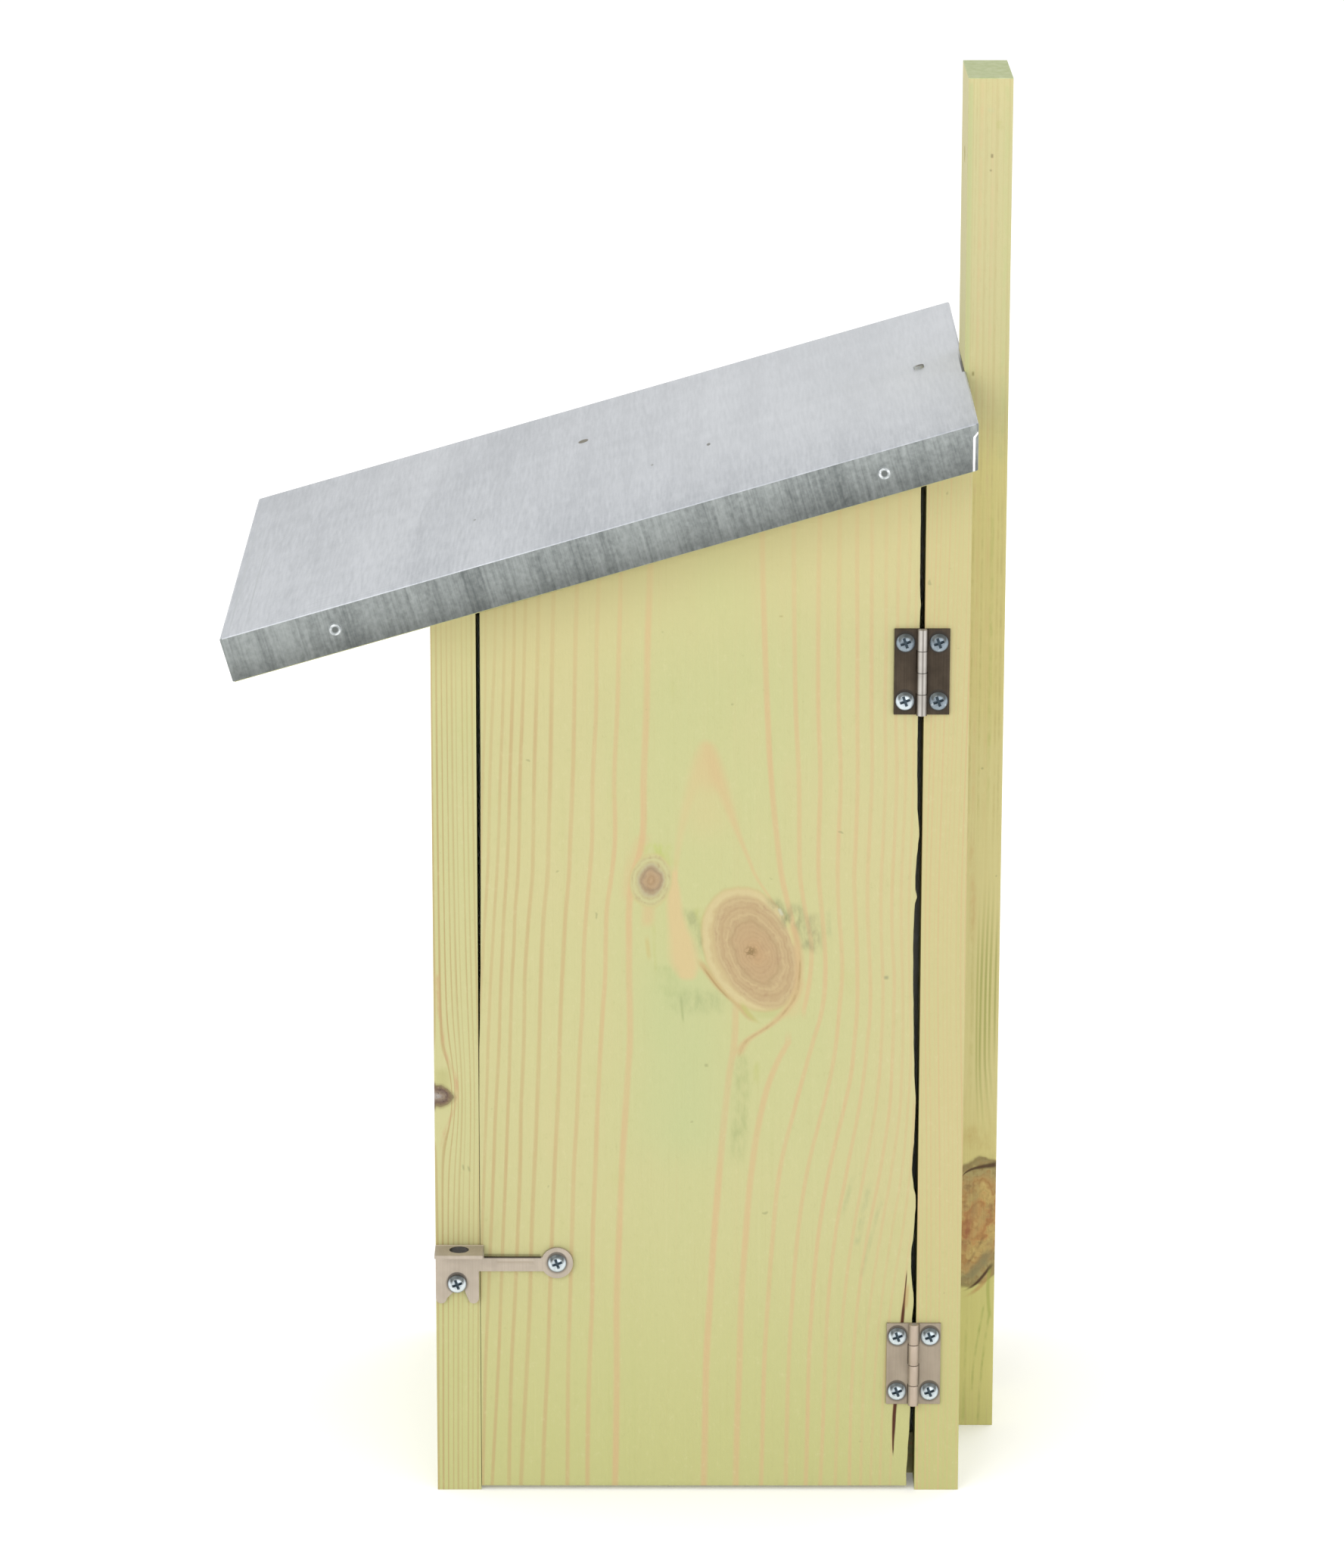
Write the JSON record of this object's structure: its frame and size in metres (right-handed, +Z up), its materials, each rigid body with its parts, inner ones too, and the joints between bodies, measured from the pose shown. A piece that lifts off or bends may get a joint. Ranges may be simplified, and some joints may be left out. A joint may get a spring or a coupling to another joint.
{
  "type": "observation nest box",
  "caption": "Lean-to wooden nest box with a round entrance, a hinged side door over a clear viewing sheet, a swinging latch and a tall rear batten to hang it by.",
  "frame": {"origin": "centre of the base: the middle of the floor board's underside", "axes": "+Z up along the batten, -Y out of the entrance hole, +Y toward the wall behind the batten, +X out through the hinged door"},
  "size_m": [0.1824, 0.2272, 0.415],
  "materials": {
    "pine": "matte",
    "zinc_sheet": "satin",
    "nickel": "satin",
    "bright_zinc": "bright",
    "clear_plastic": "gloss"
  },
  "bodies": {
    "box": {"front_board": "pine", "rear_board": "pine", "side_board": "pine", "floor_board": "pine", "roof_board": "pine", "roof_cover": "zinc_sheet", "wall_batten": "pine", "clear_sheet": "clear_plastic", "lower_hinge_frame_leaf": "nickel", "lower_hinge_pin": "nickel", "upper_hinge_frame_leaf": "nickel", "upper_hinge_pin": "nickel", "hinge_frame_screws": "bright_zinc", "latch_keeper_screw": "bright_zinc", "batten_screws": "bright_zinc", "front_nails": "bright_zinc", "rear_nails": "bright_zinc", "side_nails": "bright_zinc", "roof_nails": "bright_zinc", "roof_edge_nails": "bright_zinc", "roof_top_nail": "bright_zinc"},
    "door": {"door": "pine", "lower_hinge_door_leaf": "nickel", "upper_hinge_door_leaf": "nickel", "hinge_door_screws": "bright_zinc", "latch_pivot_screw": "bright_zinc"},
    "latch": {"latch_hook": "nickel"}
  },
  "joints": [
    {"name": "door_hinge", "type": "hinge", "parent": "box", "child": "door", "pos_m": [0.07155, 0.06375, 0], "axis": [0, 0, 1], "range_deg": [0, 95]},
    {"name": "latch_swing", "type": "hinge", "parent": "door", "child": "latch", "pos_m": [0.0708, -0.0417, 0.0719], "axis": [-1, 0, 0], "range_deg": [0, 180]}
  ]
}
